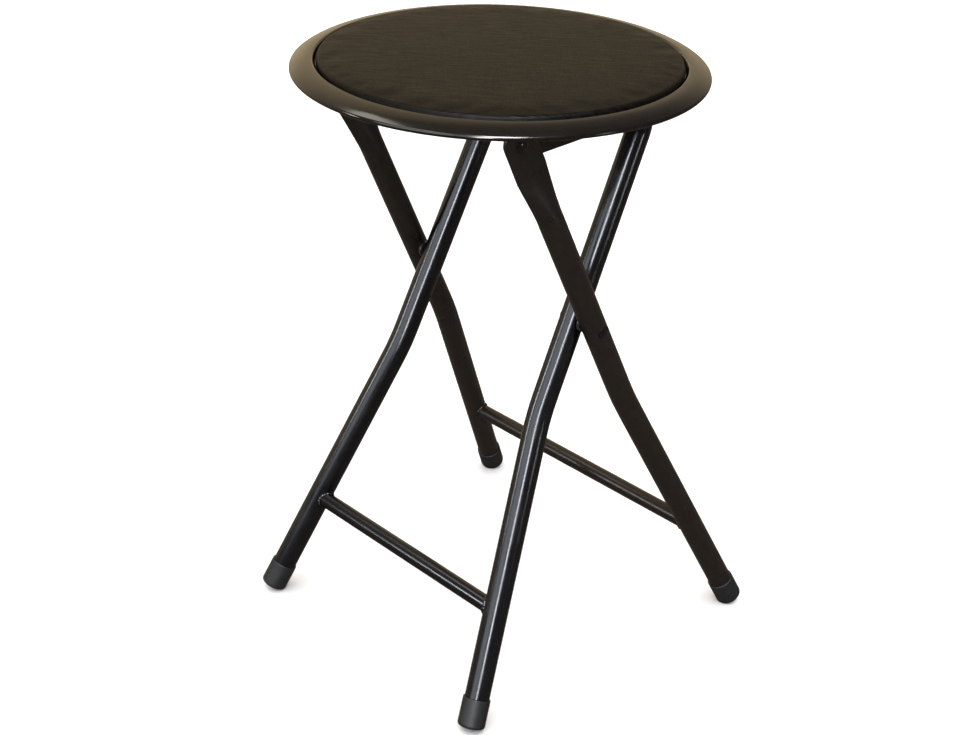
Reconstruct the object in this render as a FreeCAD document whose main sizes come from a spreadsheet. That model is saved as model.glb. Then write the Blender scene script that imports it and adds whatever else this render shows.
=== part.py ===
import FreeCAD, Part
import math
import os

import Sketcher

# Folding stool: a round padded seat on two crossed tube frames that fold flat.
# Millimetres and degrees. +Z is up, -Y is the front, the floor is at Z = 0.
# The outer frame carries the seat's hinges at the front and has its feet at the back;
# the inner frame's bar holds up the back of the seat and its feet stand at the front.

SIZES = (
    ("seat_diameter", 300, "across the pan's outer edge"),
    ("seat_height", 468.5, "floor to the crown of the cushion"),
    ("seat_forward", 3.5, "seat centre in front of the origin"),
    ("pan_sheet", 1.2, "steel sheet of the pan"),
    ("rim_width", 15.4, "outer edge to the crest of the rim"),
    ("rim_rise", 4.1, "crest of the rim above the pan's floor"),
    ("rim_fall", 6.7, "crest of the rim down to the middle of the outer curl"),
    ("rim_roll", 2, "radius of the rim's inner edge"),
    ("curl_radius", 2, "radius of the curled outer edge"),
    ("hem_length", 2.5, "flat hem behind the curl"),
    ("corner_radius", 1.2, "inside radius between floor and rim"),
    ("pad_height", 8.9, "crown of the cushion above the pan's floor"),
    ("pad_gap", 1, "between the cushion's side and the rim"),
    ("pad_shoulder", 3.8, "radius of the cushion's upper edge"),
    ("pad_belly", 2.9, "height of the cushion's widest line"),
    ("pad_tuck", 1, "how far the cushion's side draws in below its widest line"),
    ("cover_thickness", 0.9, "cover fabric"),
    ("cover_margin", 18, "cover turned under the board"),
    ("pad_fit", 0.2, "between the layers of the cushion"),
    ("board_thickness", 2.5, "seat board"),
    ("board_screw_ring", 55, "radius of the circle of board screws"),
    ("board_screw_count", 4, "board screws"),
    ("board_screw_turn", 45, "first board screw from the right"),
    ("screw_diameter", 4.2, "screw shanks"),
    ("screw_head_diameter", 8, "screw heads"),
    ("screw_head_height", 2.4, "screw heads"),
    ("screw_fit", 0.05, "radial gap round fixed shanks"),
    ("tube_diameter", 19, "leg tube"),
    ("tube_wall", 1.2, "leg tube"),
    ("pivot_height", 283, "floor to the cross rivets"),
    ("pivot_back", 8.5, "cross rivets behind the seat's centre"),
    ("outer_tilt", 26.65, "outer frame from upright"),
    ("inner_tilt", 26, "inner frame from upright"),
    ("inner_span", 151.4, "between the inner legs' axes at the cross rivets"),
    ("leg_gap", 3.3, "between crossing tubes"),
    ("taper", 1.75, "upper legs lean in"),
    ("splay", 10.5, "lower legs lean out"),
    ("bend_drop", 77, "leg bend below the cross rivets, along the frame"),
    ("bend_radius", 180, "leg bend"),
    ("bar_bend_radius", 38, "bends at the ends of the inner frame's bar"),
    ("stretcher_diameter", 12.7, "stretcher tubes"),
    ("stretcher_drop", 146.5, "stretchers below the leg bends, along the frame"),
    ("hinge_drop", 17.9, "hinge rivets below the top of the pan's floor"),
    ("flat_thickness", 3, "flattened leg end"),
    ("flat_length", 26, "flattened leg below the hinge rivet"),
    ("flat_transition", 44, "round tube to flattened end"),
    ("flat_lead", 1.8, "hinge rivet to the centre of the rounded leg end"),
    ("flat_tip_angle", 14, "share of the round tube that becomes the flattened edge"),
    ("hinge_gap", 1.6, "between leg end and hinge rail"),
    ("rail_thickness", 2, "hinge rail sheet"),
    ("rail_front", 7.5, "hinge rail in front of its rivet"),
    ("rail_depth", 13.4, "hinge rail below its rivet"),
    ("rail_corner", 6, "hinge rail's lower front corner"),
    ("rail_rise", 3.4, "hinge rail's lower edge, from front to back"),
    ("rail_flange", 15, "hinge rail's flange under the pan"),
    ("rail_straight", 118, "hinge rail's full depth behind the rivet"),
    ("rail_length", 163, "hinge rail behind the rivet"),
    ("rail_tail", 8, "hinge rail's depth at its back end"),
    ("rivet_diameter", 6, "rivet shanks"),
    ("pivot_head_diameter", 10, "low heads of the cross rivets"),
    ("pivot_head_height", 1, "low heads of the cross rivets"),
    ("pivot_tail_diameter", 7, "flat tails of the cross rivets, inside the inner legs"),
    ("pivot_tail_height", 0.6, "flat tails of the cross rivets, inside the inner legs"),
    ("pivot_tail_gap", 0.2, "between the inner legs and the cross rivets' tails"),
    ("hinge_head_diameter", 12.6, "heads of the seat's hinge rivets"),
    ("hinge_head_height", 2.6, "heads of the seat's hinge rivets"),
    ("rivet_skirt", 1.6, "how far the outer pivot heads reach round the tube"),
    ("running_fit", 0.05, "radial gap round turning rivets"),
    ("running_gap", 0.5, "side gap between turning pieces"),
    ("washer_diameter", 14, "hinge washers"),
    ("spacer_diameter", 13, "pivot spacers"),
    ("clip_crown", 4, "saddle above the bar"),
    ("clip_clearance", 0.5, "between saddle and bar"),
    ("clip_arm", 3.5, "saddle's arms"),
    ("clip_width", 22, "saddle along the bar"),
    ("clip_offset", 18, "saddle's middle from the centre line"),
    ("clip_ear", 24, "saddle's feet in front of and behind the bar"),
    ("clip_ear_thickness", 3, "saddle's feet"),
    ("clip_screw_inset", 5, "screws from the ends of the saddle's feet"),
    ("clip_front_angle", 140, "where the saddle's front arm ends, from straight back"),
    ("clip_rear_angle", -20, "where the saddle's rear arm ends, from straight back"),
    ("cap_wall", 1, "rubber foot over the tube"),
    ("cap_fit", 0.05, "radial gap between tube and foot"),
    ("cap_length", 22.5, "rubber foot"),
    ("cap_sole", 4, "rubber under the tube's end"),
    ("cap_round", 2.5, "rounded lower edge of the foot"),
    ("foot_flat", 1, "worn flat on the foot"),
)

WORKED = [
    ("seat_radius", "Sizes.seat_diameter / 2"),
    ("floor_top", "Sizes.seat_height - Sizes.pad_height"),
    ("crest_radius", "Worked.seat_radius - Sizes.rim_width"),
    ("wall_radius", "Worked.crest_radius - Sizes.rim_roll"),
    ("curl_ring", "Worked.seat_radius - Sizes.curl_radius"),
    ("curl_height", "Sizes.rim_rise - Sizes.rim_fall"),
    (
        "rim_arc",
        "((Worked.curl_ring - Worked.crest_radius)^2 + Sizes.rim_fall^2 - Sizes.curl_radius^2)"
        " / (2 * (Sizes.rim_fall - Sizes.curl_radius))",
    ),
    ("rim_arc_height", "Sizes.rim_rise - Worked.rim_arc"),
    ("rim_out", "(Worked.curl_ring - Worked.crest_radius) / (Worked.rim_arc - Sizes.curl_radius)"),
    ("rim_up", "(Worked.rim_arc - Sizes.rim_fall) / (Worked.rim_arc - Sizes.curl_radius)"),
    ("pad_radius", "Worked.wall_radius - Sizes.pad_gap"),
    ("shoulder_radius", "Worked.pad_radius - Sizes.pad_shoulder"),
    ("shoulder_height", "Sizes.pad_belly + Sizes.pad_shoulder"),
    ("board_under", "Sizes.cover_thickness"),
    ("board_over", "Worked.board_under + Sizes.board_thickness"),
    (
        "board_radius",
        "Worked.pad_radius - Sizes.pad_tuck - Sizes.cover_thickness - Sizes.pad_fit",
    ),
    ("layer_depth", "Sizes.cover_thickness + Sizes.pad_fit"),
    ("tube_radius", "Sizes.tube_diameter / 2"),
    ("bore_radius", "Worked.tube_radius - Sizes.tube_wall"),
    ("rivet_radius", "Sizes.rivet_diameter / 2"),
    ("screw_radius", "Sizes.screw_diameter / 2"),
    ("pivot_y", "Sizes.pivot_back - Sizes.seat_forward"),
    ("inner_half", "Sizes.inner_span / 2"),
    ("outer_half", "Worked.inner_half + Sizes.tube_diameter + Sizes.leg_gap"),
    ("bend_out", "Sizes.bend_drop * tan(Sizes.taper)"),
    ("bend_tangent", "Sizes.bend_radius * tan((Sizes.splay - Sizes.taper) / 2)"),
    ("cap_radius", "Worked.tube_radius + Sizes.cap_fit + Sizes.cap_wall"),
    ("hinge_height", "Worked.floor_top - Sizes.hinge_drop"),
    ("hinge_reach", "(Worked.hinge_height - Sizes.pivot_height) / cos(Sizes.outer_tilt)"),
    ("hinge_back", "Sizes.pivot_back - Worked.hinge_reach * sin(Sizes.outer_tilt)"),
    ("saddle_radius", "Worked.tube_radius + Sizes.clip_clearance"),
    ("bar_drop", "Sizes.pan_sheet + Sizes.clip_crown + Worked.saddle_radius"),
    (
        "bar_reach",
        "(Worked.floor_top - Worked.bar_drop - Sizes.pivot_height) / cos(Sizes.inner_tilt)",
    ),
    ("bar_back", "Sizes.pivot_back + Worked.bar_reach * sin(Sizes.inner_tilt)"),
    ("bar_half", "Worked.inner_half - Worked.bar_reach * tan(Sizes.taper)"),
    ("bar_tangent", "Sizes.bar_bend_radius * tan((90 - Sizes.taper) / 2)"),
    ("flat_width", "pi * (Sizes.tube_diameter - Sizes.flat_thickness) / 2 + Sizes.flat_thickness"),
    ("flat_start", "Worked.hinge_reach - Sizes.flat_length"),
    ("round_end", "Worked.flat_start - Sizes.flat_transition"),
    ("flat_x", "Worked.outer_half - Worked.flat_start * tan(Sizes.taper)"),
    ("flat_centre", "Worked.hinge_reach + Sizes.flat_lead"),
    ("rail_outer", "Worked.flat_x - Sizes.flat_thickness / 2 - Sizes.hinge_gap"),
    ("rail_inner", "Worked.rail_outer - Sizes.rail_thickness"),
    ("clip_screw_reach", "Sizes.clip_ear - Sizes.clip_screw_inset"),
]

# Where each frame's legs reach the floor: the rounded foot's lowest point, less its worn flat.
for frame in ("outer", "inner"):
    upright = "cos(Sizes.%s_tilt) * cos(Sizes.splay)" % frame
    lean = "sqrt(1 - (%s)^2)" % upright
    WORKED += [
        (
            frame + "_foot_rise",
            "(Worked.cap_radius - Sizes.cap_round) * %s + Sizes.cap_round * (1 - %s)"
            " - Sizes.foot_flat" % (lean, upright),
        ),
        (
            frame + "_foot_reach",
            "(Sizes.pivot_height - Worked.{0}_foot_rise) / cos(Sizes.{0}_tilt)".format(frame),
        ),
        (
            frame + "_foot_out",
            "Worked.{0}_half + Worked.bend_out"
            " + (Worked.{0}_foot_reach - Sizes.bend_drop) * tan(Sizes.splay)".format(frame),
        ),
        (
            frame + "_stretcher_out",
            "Worked.{0}_half + Worked.bend_out + Sizes.stretcher_drop * tan(Sizes.splay)".format(frame),
        ),
    ]

SEAT = "placement(vector(0; -Sizes.seat_forward; Worked.floor_top); rotation(vector(0; 0; 1); 0))"
FRAMES = {
    "outer": "placement(vector(0; Worked.pivot_y; Sizes.pivot_height);"
    " rotation(vector(1; 0; 0); 90 + Sizes.outer_tilt))",
    "inner": "placement(vector(0; Worked.pivot_y; Sizes.pivot_height);"
    " rotation(vector(1; 0; 0); 90 - Sizes.inner_tilt))",
}

doc = FreeCAD.newDocument("FoldingStool")
sizes = doc.addObject("Spreadsheet::Sheet", "Sizes")
worked = doc.addObject("Spreadsheet::Sheet", "Worked")
SPARE_CELL = "D1"
nodes = []


def fill_sheets():
    """The driving sizes as plain numbers, and what follows from them as formulas."""
    for row, (alias, value, meaning) in enumerate(SIZES, start=1):
        sizes.set("A%d" % row, meaning)
        sizes.set("B%d" % row, str(value))
        sizes.setAlias("B%d" % row, alias)
    doc.recompute()
    for row, (alias, formula) in enumerate(WORKED, start=1):
        worked.set("A%d" % row, alias)
        worked.set("B%d" % row, "=" + formula.replace("Worked.", ""))
        worked.setAlias("B%d" % row, alias)
    doc.recompute()


def number(expression):
    """The present value of an expression in the sheets' sizes."""
    worked.set(SPARE_CELL, "=" + str(expression).replace("Worked.", ""))
    worked.recompute()
    return float(worked.get(SPARE_CELL))


def new_body(label, placement):
    body = doc.addObject("PartDesign::Body", label)
    body.Label = label
    body.setExpression("Placement", placement)
    return body


def keep(part):
    """Marks a finished object as one of the stool's pieces."""
    nodes.append(part)
    return part


def new_sketch(body, role, name, offset=None):
    """Sketch on one of the body's own planes, moved by an offset expression if given."""
    sketch = body.newObject("Sketcher::SketchObject", name)
    plane = [f for f in body.Origin.OriginFeatures if f.Role == role][0]
    sketch.AttachmentSupport = [(plane, "")]
    sketch.MapMode = "FlatFace"
    if offset:
        sketch.setExpression("AttachmentOffset", offset)
    return sketch


def raised(height):
    """Offset that lifts a sketch straight off its plane."""
    return "placement(vector(0; 0; %s); rotation(vector(0; 0; 1); 0))" % height


def pin_point(sketch, geometry, vertex, across, up):
    """Ties a vertex to its two expressions, measured from the sketch's origin."""
    for kind, axis, expression in (("DistanceX", -2, across), ("DistanceY", -1, up)):
        if str(expression) == "0":
            sketch.addConstraint(Sketcher.Constraint("PointOnObject", geometry, vertex, axis))
            continue
        value = number(expression)
        index = sketch.addConstraint(Sketcher.Constraint(kind, -1, 1, geometry, vertex, value))
        sketch.setExpression("Constraints[%d]" % index, str(expression))


def pin_radius(sketch, geometry, expression):
    index = sketch.addConstraint(Sketcher.Constraint("Radius", geometry, number(expression)))
    sketch.setExpression("Constraints[%d]" % index, str(expression))


def arc_between(start, end, radius, turn):
    """Arc under a half circle; turn is 1 to the left and -1 to the right of the way it is drawn."""
    chord = end - start
    rise = math.sqrt(max(radius**2 - (chord.Length / 2) ** 2, 0))
    left = FreeCAD.Vector(-chord.y, chord.x, 0).normalize()
    centre = (start + end) * 0.5 + left * (turn * rise)
    first, last = (start, end) if turn > 0 else (end, start)
    circle = Part.Circle(centre, FreeCAD.Vector(0, 0, 1), radius)
    angles = [math.atan2(p.y - centre.y, p.x - centre.x) for p in (first, last)]
    return Part.ArcOfCircle(circle, angles[0], angles[1])


def draw(sketch, corners, closed=True):
    """Lines and arcs through corners (across, up) or (across, up, radius, turn) in expressions.

    A corner with a radius starts an arc to the next corner.
    """
    places = [FreeCAD.Vector(number(c[0]), number(c[1]), 0) for c in corners]
    count = len(corners) if closed else len(corners) - 1
    ends = []
    for index in range(count):
        start, end = places[index], places[(index + 1) % len(places)]
        corner = corners[index]
        if len(corner) == 2:
            geometry = sketch.addGeometry(Part.LineSegment(start, end))
            first, last = 1, 2
        else:
            radius, turn = corner[2], corner[3]
            geometry = sketch.addGeometry(arc_between(start, end, number(radius), turn))
            first, last = (1, 2) if turn > 0 else (2, 1)
        ends.append((geometry, first, last))
    for index, (geometry, first, last) in enumerate(ends):
        pin_point(sketch, geometry, first, corners[index][0], corners[index][1])
        if closed or index + 1 < count:
            after, after_first, _ = ends[(index + 1) % count]
            sketch.addConstraint(Sketcher.Constraint("Coincident", geometry, last, after, after_first))
        else:
            pin_point(sketch, geometry, last, corners[-1][0], corners[-1][1])
        if len(corners[index]) > 2:
            pin_radius(sketch, geometry, corners[index][2])
    return sketch


def draw_circles(sketch, circles):
    """Circles given as (across, up, radius) expressions."""
    for across, up, radius in circles:
        centre = FreeCAD.Vector(number(across), number(up), 0)
        circle = Part.Circle(centre, FreeCAD.Vector(0, 0, 1), number(radius))
        geometry = sketch.addGeometry(circle)
        pin_point(sketch, geometry, 3, across, up)
        pin_radius(sketch, geometry, radius)
    return sketch


def revolve(body, sketch):
    turned = body.newObject("PartDesign::Revolution", "Turned")
    turned.Profile = sketch
    turned.ReferenceAxis = (sketch, ["V_Axis"])
    turned.Angle = 360
    return turned


def pad(body, sketch, length, middle=False, back=False):
    block = body.newObject("PartDesign::Pad", "Pad")
    block.Profile = sketch
    block.setExpression("Length", str(length))
    block.Midplane = middle
    block.Reversed = back
    return block


def cut_through(body, sketch):
    """Cuts the sketch through the whole body, both ways, and checks that it removed something."""
    doc.recompute()
    before = body.Shape.Volume
    pocket = body.newObject("PartDesign::Pocket", "Cut")
    pocket.Profile = sketch
    pocket.Type = "ThroughAll"
    pocket.Midplane = True
    doc.recompute()
    if body.Shape.Volume >= before:
        raise RuntimeError(body.Label + ": a cut removed nothing")
    return pocket


def pipe(body, profile, path):
    tube = body.newObject("PartDesign::AdditivePipe", "Tube")
    tube.Profile = profile
    tube.Spine = (path, ["Edge%d" % (i + 1) for i in range(path.GeometryCount)])
    return tube


def mirror(right, label):
    """The left-hand twin of a right-hand piece."""
    left = doc.addObject("Part::Mirroring", label)
    left.Label = label
    left.Source = right
    left.Normal = FreeCAD.Vector(1, 0, 0)
    return keep(left)


def seat_pan():
    """Pressed sheet: flat floor, raised rim, convex rim top and a curled, hemmed outer edge."""
    body = new_body("seat_pan", SEAT)
    sheet = "Sizes.pan_sheet"
    wall_outer = "Worked.wall_radius + " + sheet
    hem_end = "Worked.curl_ring - Sizes.hem_length"
    hem_low = "Worked.curl_height - Sizes.curl_radius"
    profile = [
        ("0", "0"),
        ("Worked.wall_radius - Sizes.corner_radius", "0", "Sizes.corner_radius", 1),
        ("Worked.wall_radius", "Sizes.corner_radius"),
        ("Worked.wall_radius", "Sizes.rim_rise - Sizes.rim_roll", "Sizes.rim_roll", -1),
        ("Worked.crest_radius", "Sizes.rim_rise", "Worked.rim_arc", -1),
        (
            "Worked.crest_radius + Worked.rim_arc * Worked.rim_out",
            "Worked.rim_arc_height + Worked.rim_arc * Worked.rim_up",
            "Sizes.curl_radius",
            -1,
        ),
        ("Worked.curl_ring", hem_low),
        (hem_end, hem_low),
        (hem_end, hem_low + " + " + sheet),
        ("Worked.curl_ring", hem_low + " + " + sheet, "Sizes.curl_radius - " + sheet, 1),
        (
            "Worked.crest_radius + (Worked.rim_arc - %s) * Worked.rim_out" % sheet,
            "Worked.rim_arc_height + (Worked.rim_arc - %s) * Worked.rim_up" % sheet,
            "Worked.rim_arc - " + sheet,
            1,
        ),
        ("Worked.crest_radius", "Sizes.rim_rise - " + sheet, "Sizes.rim_roll - " + sheet, 1),
        (wall_outer, "Sizes.rim_rise - Sizes.rim_roll"),
        (wall_outer, "Sizes.corner_radius", "Sizes.corner_radius + " + sheet, -1),
        ("Worked.wall_radius - Sizes.corner_radius", "-" + sheet),
        ("0", "-" + sheet),
    ]
    revolve(body, draw(new_sketch(body, "XZ_Plane", "PanProfile"), profile))
    hole = "Worked.screw_radius + Sizes.screw_fit"
    holes = [(x, y, hole) for x, y in board_screw_places() + clip_screw_places()]
    cut_through(body, draw_circles(new_sketch(body, "XY_Plane", "ScrewHoles"), holes))
    return keep(body)


def board_screw_places():
    """Screws on a circle, set between the rails and the saddles."""
    count = int(number("Sizes.board_screw_count"))
    places = []
    for index in range(count):
        angle = "%d * 360 / Sizes.board_screw_count + Sizes.board_screw_turn" % index
        places.append(
            ("Sizes.board_screw_ring * cos(%s)" % angle, "Sizes.board_screw_ring * sin(%s)" % angle)
        )
    return places


def clip_screw_places():
    places = []
    for side in ("", "-"):
        for way in ("+", "-"):
            places.append((side + "Sizes.clip_offset", "Worked.bar_back %s Worked.clip_screw_reach" % way))
    return places


def screw_group(label, places, head_top, shank_length):
    """Round-headed screws driven upwards, as one group of separate solids."""
    body = new_body(label, SEAT)
    body.AllowCompound = True
    heads = [(x, y, "Sizes.screw_head_diameter / 2") for x, y in places]
    head_sketch = draw_circles(new_sketch(body, "XY_Plane", "Heads", raised(head_top)), heads)
    pad(body, head_sketch, "Sizes.screw_head_height", back=True)
    shanks = [(x, y, "Worked.screw_radius") for x, y in places]
    shank_sketch = draw_circles(new_sketch(body, "XY_Plane", "Shanks", raised(head_top)), shanks)
    pad(body, shank_sketch, shank_length)
    return keep(body)


def seat_board():
    body = new_body("seat_board", SEAT)
    disc = new_sketch(body, "XY_Plane", "Disc", raised("Worked.board_under"))
    pad(body, draw_circles(disc, [("0", "0", "Worked.board_radius")]), "Sizes.board_thickness")
    hole = "Worked.screw_radius + Sizes.screw_fit"
    holes = [(x, y, hole) for x, y in board_screw_places()]
    cut_through(body, draw_circles(new_sketch(body, "XY_Plane", "ScrewHoles"), holes))
    return keep(body)


def crown_radius(edge_radius, edge_height, top):
    """Radius of the arc that rises from the shoulder to the crown's middle."""
    rise = "(%s - (%s))" % (top, edge_height)
    return "((%s)^2 + %s^2) / (2 * %s)" % (edge_radius, rise, rise)


def seat_foam():
    """Foam pad on the board: rounded edge and a shallow crown, one layer inside the cover."""
    body = new_body("seat_foam", SEAT)
    edge = "(Sizes.pad_shoulder - Worked.layer_depth)"
    edge_top = "Sizes.pad_belly + " + edge
    top = "Sizes.pad_height - Worked.layer_depth"
    base = "Worked.board_over"
    base_radius = "Worked.shoulder_radius + sqrt(%s^2 - (%s - Sizes.pad_belly)^2)" % (edge, base)
    crown = crown_radius("Worked.shoulder_radius", edge_top, top)
    profile = [
        ("0", base),
        (base_radius, base, edge, 1),
        ("Worked.shoulder_radius", edge_top, crown, 1),
        ("0", top),
    ]
    revolve(body, draw(new_sketch(body, "XZ_Plane", "FoamProfile"), profile))
    return keep(body)


def seat_cover():
    """Cover: crowned top, rounded shoulder, side drawn in below, hem turned under the board."""
    body = new_body("seat_cover", SEAT)
    cloth = "Sizes.cover_thickness"
    foot = "Worked.pad_radius - Sizes.pad_tuck"
    hem = foot + " - Sizes.cover_margin"
    side = "2 * Sizes.pad_belly"
    inner_edge = "Sizes.pad_shoulder - " + cloth
    inner_side = "Worked.pad_radius - " + cloth
    inner_top = "Sizes.pad_height - " + cloth
    shoulder_in = "Worked.shoulder_height - " + cloth
    crown = crown_radius("Worked.shoulder_radius", "Worked.shoulder_height", "Sizes.pad_height")
    inner_crown = crown_radius("Worked.shoulder_radius", shoulder_in, inner_top)
    profile = [
        (hem, "0"),
        (foot, "0", side, 1),
        ("Worked.pad_radius", "Sizes.pad_belly", "Sizes.pad_shoulder", 1),
        ("Worked.shoulder_radius", "Worked.shoulder_height", crown, 1),
        ("0", "Sizes.pad_height"),
        ("0", inner_top, inner_crown, -1),
        ("Worked.shoulder_radius", shoulder_in, inner_edge, -1),
        (inner_side, "Sizes.pad_belly", side, -1),
        (foot + " - " + cloth, cloth),
        (hem, cloth),
    ]
    revolve(body, draw(new_sketch(body, "XZ_Plane", "CoverProfile"), profile))
    return keep(body)


def hinge_rail():
    """Angle bracket: deep side plate round the hinge rivet, flange flat against the pan."""
    body = new_body("right_hinge_rail", SEAT)
    low = "-Sizes.hinge_drop - Sizes.rail_depth"
    high = "-Sizes.pan_sheet"
    front = "Worked.hinge_back - Sizes.rail_front"
    back = "Worked.hinge_back + Sizes.rail_length"
    outline = [
        (front, high),
        (front, low + " + Sizes.rail_corner", "Sizes.rail_corner", 1),
        (front + " + Sizes.rail_corner", low),
        ("Worked.hinge_back + Sizes.rail_straight", low + " + Sizes.rail_rise"),
        (back, high + " - Sizes.rail_tail"),
        (back, high),
    ]
    plate = new_sketch(body, "YZ_Plane", "Plate", raised("Worked.rail_outer"))
    pad(body, draw(plate, outline), "Sizes.rail_thickness", back=True)
    flange_edge = "Worked.rail_outer - Sizes.rail_flange"
    flange = [
        (flange_edge, front),
        ("Worked.rail_outer", front),
        ("Worked.rail_outer", back),
        (flange_edge, back),
    ]
    top = new_sketch(body, "XY_Plane", "Flange", raised("-Sizes.pan_sheet"))
    pad(body, draw(top, flange), "Sizes.rail_thickness", back=True)
    hole = [("Worked.hinge_back", "-Sizes.hinge_drop", "Worked.rivet_radius + Sizes.running_fit")]
    cut_through(body, draw_circles(new_sketch(body, "YZ_Plane", "RivetHole"), hole))
    return keep(body)


def bar_clip():
    """Saddle that drops over the inner frame's bar: long rear arm, short front arm, two feet."""
    body = new_body("right_bar_clip", SEAT)

    def at_angle(angle):
        across = "Worked.bar_back + Worked.saddle_radius * cos(%s)" % angle
        up = "-Worked.bar_drop + Worked.saddle_radius * sin(%s)" % angle
        return across, up

    front, front_low = at_angle("Sizes.clip_front_angle")
    rear, rear_low = at_angle("Sizes.clip_rear_angle")
    top = "-Sizes.pan_sheet"
    ear_low = top + " - Sizes.clip_ear_thickness"
    outline = [
        ("Worked.bar_back + Sizes.clip_ear", top),
        ("Worked.bar_back - Sizes.clip_ear", top),
        ("Worked.bar_back - Sizes.clip_ear", ear_low),
        (front + " - Sizes.clip_arm", ear_low),
        (front + " - Sizes.clip_arm", front_low),
        (front, front_low, "Worked.saddle_radius", -1),
        (rear, rear_low),
        (rear + " + Sizes.clip_arm", rear_low),
        (rear + " + Sizes.clip_arm", ear_low),
        ("Worked.bar_back + Sizes.clip_ear", ear_low),
    ]
    side = new_sketch(body, "YZ_Plane", "Saddle", raised("Sizes.clip_offset"))
    pad(body, draw(side, outline), "Sizes.clip_width", middle=True)
    hole = "Worked.screw_radius + Sizes.screw_fit"
    holes = [(x, y, hole) for x, y in clip_screw_places() if not x.startswith("-")]
    cut_through(body, draw_circles(new_sketch(body, "XY_Plane", "ScrewHoles"), holes))
    return keep(body)


def leg_point(frame, reach, side=""):
    """Point of a frame's lower leg axis that lies some way up from the foot's end."""
    across = "%s(Worked.%s_foot_out - %s * sin(Sizes.splay))" % (side, frame, reach)
    up = "-Worked.%s_foot_reach + %s * cos(Sizes.splay)" % (frame, reach)
    return across, up


def leg_bend(frame, side, turn, upwards):
    """The bend between a frame's lower and upper leg, as the two ends of its arc."""
    corner = "Worked.%s_half + Worked.bend_out" % frame
    low = (
        "%s(%s + Worked.bend_tangent * sin(Sizes.splay))" % (side, corner),
        "-Sizes.bend_drop - Worked.bend_tangent * cos(Sizes.splay)",
    )
    high = (
        "%s(%s - Worked.bend_tangent * sin(Sizes.taper))" % (side, corner),
        "-Sizes.bend_drop + Worked.bend_tangent * cos(Sizes.taper)",
    )
    first, last = (low, high) if upwards else (high, low)
    return [first + ("Sizes.bend_radius", turn), last]


def tube_section(body, frame, side):
    """The tube's ring, square to the leg at its lower end; side is 1 or -1."""
    sign = "" if side > 0 else "-"
    across, up = leg_point(frame, "Sizes.cap_sole", sign)
    offset = "placement(vector(%s; 0; -(%s)); rotation(vector(0; 1; 0); %sSizes.splay))" % (
        across,
        up,
        sign,
    )
    section = new_sketch(body, "XZ_Plane", "Section", offset)
    return draw_circles(section, [("0", "0", "Worked.tube_radius"), ("0", "0", "Worked.bore_radius")])


def outer_leg():
    """Bent tube whose upper end is pressed flat, rounded off and drilled for the hinge rivet."""
    body = new_body("outer_right_leg", FRAMES["outer"])
    route = [leg_point("outer", "Sizes.cap_sole")]
    route += leg_bend("outer", "", -1, True)
    route.append(("Worked.outer_half - Worked.round_end * tan(Sizes.taper)", "Worked.round_end"))
    path = draw(new_sketch(body, "XY_Plane", "Path"), route, closed=False)
    pipe(body, tube_section(body, "outer", 1), path)

    tip_x = "Worked.tube_radius * sin(Sizes.flat_tip_angle)"
    tip_y = "Worked.tube_radius * cos(Sizes.flat_tip_angle)"
    round_outline = [
        (tip_x, "-" + tip_y, "Worked.tube_radius", 1),
        (tip_x, tip_y, "Worked.tube_radius", 1),
        ("0", "Worked.tube_radius", "Worked.tube_radius", 1),
        ("-" + tip_x, tip_y, "Worked.tube_radius", 1),
        ("-" + tip_x, "-" + tip_y, "Worked.tube_radius", 1),
        ("0", "-Worked.tube_radius", "Worked.tube_radius", 1),
    ]
    half = "Sizes.flat_thickness / 2"
    straight = "(Worked.flat_width - Sizes.flat_thickness) / 2"
    flat_outline = [
        (half, "-" + straight),
        (half, straight, half, 1),
        ("0", "Worked.flat_width / 2", half, 1),
        ("-" + half, straight),
        ("-" + half, "-" + straight, half, 1),
        ("0", "-Worked.flat_width / 2", half, 1),
    ]
    round_place = (
        "placement(vector(Worked.outer_half - Worked.round_end * tan(Sizes.taper); 0; -Worked.round_end);"
        " rotation(vector(0; 1; 0); Sizes.taper))"
    )
    flat_place = (
        "placement(vector(Worked.flat_x; 0; -Worked.flat_start); rotation(vector(0; 1; 0); 0))"
    )
    round_section = draw(new_sketch(body, "XZ_Plane", "RoundSection", round_place), round_outline)
    flat_section = draw(new_sketch(body, "XZ_Plane", "FlatSection", flat_place), flat_outline)
    pressed = body.newObject("PartDesign::AdditiveLoft", "Pressed")
    pressed.Profile = round_section
    pressed.Sections = [flat_section]
    doc.recompute()

    end = draw(new_sketch(body, "XZ_Plane", "EndSection", flat_place), flat_outline)
    pad(body, end, "Worked.flat_centre + Worked.flat_width / 2 - Worked.flat_start", back=True)
    reach = "Worked.flat_width"
    corners = [
        ("Worked.flat_centre", "-" + reach),
        ("Worked.flat_centre + " + reach, "-" + reach),
        ("Worked.flat_centre + " + reach, reach),
        ("Worked.flat_centre", reach),
        ("Worked.flat_centre", "Worked.flat_width / 2", "Worked.flat_width / 2", -1),
        ("Worked.flat_centre + Worked.flat_width / 2", "0", "Worked.flat_width / 2", -1),
        ("Worked.flat_centre", "-Worked.flat_width / 2"),
    ]
    cut_through(body, draw(new_sketch(body, "YZ_Plane", "RoundedEnd"), corners))
    hole = "Worked.rivet_radius + Sizes.screw_fit"
    holes = [("0", "0", hole), ("Worked.hinge_reach", "0", hole)]
    cut_through(body, draw_circles(new_sketch(body, "YZ_Plane", "RivetHoles"), holes))
    return keep(body)


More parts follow.
